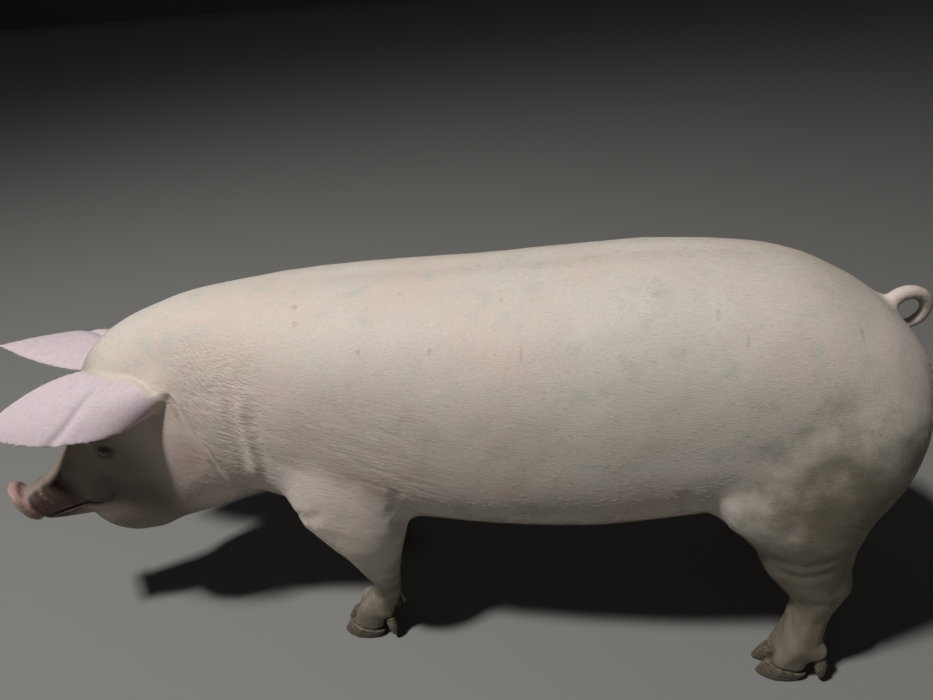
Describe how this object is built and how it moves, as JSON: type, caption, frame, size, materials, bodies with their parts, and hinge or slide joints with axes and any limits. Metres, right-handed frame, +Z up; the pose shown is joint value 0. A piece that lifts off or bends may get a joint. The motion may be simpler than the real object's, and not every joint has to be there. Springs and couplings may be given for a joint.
{
  "type": "pig",
  "caption": "Standing domestic pig, life size, pale pink skin with a short white coat, lop ears, curled tail and its head turned to its left and lowered.",
  "frame": {"origin": "centre of the animal's box at floor level, under its belly", "axes": "-X toward the nose, -Y toward the animal's left side, +Z up"},
  "size_m": [1.571, 0.4321, 0.7268],
  "materials": {
    "skin": "pale pink skin under a short white coat, satin",
    "ear": "thin pink skin, satin, sparse hair",
    "snout": "bare moist pink skin, slightly glossy",
    "horn": "dark dull claw horn, soiled",
    "eye": "wet dark eye"
  },
  "bodies": {
    "root": {"eye_left": "eye", "ear_left": "ear", "eye_right": "eye", "ear_right": "ear", "snout_disc": "snout", "head": "skin", "lower_jaw": "skin", "neck": "skin", "trunk_chest": "skin", "trunk_barrel": "skin", "trunk_rump": "skin", "tail_1": "skin", "tail_2": "skin", "tail_3": "skin", "foreleg_left": "skin", "forefoot_left": "skin", "claw_fore_left_outer": "horn", "dewclaw_fore_left_outer": "horn", "claw_fore_left_inner": "horn", "dewclaw_fore_left_inner": "horn", "foreleg_right": "skin", "forefoot_right": "skin", "claw_fore_right_outer": "horn", "dewclaw_fore_right_outer": "horn", "claw_fore_right_inner": "horn", "dewclaw_fore_right_inner": "horn", "hindleg_left": "skin", "hindfoot_left": "skin", "claw_hind_left_outer": "horn", "dewclaw_hind_left_outer": "horn", "claw_hind_left_inner": "horn", "dewclaw_hind_left_inner": "horn", "hindleg_right": "skin", "hindfoot_right": "skin", "claw_hind_right_outer": "horn", "dewclaw_hind_right_outer": "horn", "claw_hind_right_inner": "horn", "dewclaw_hind_right_inner": "horn"}
  },
  "joints": []
}
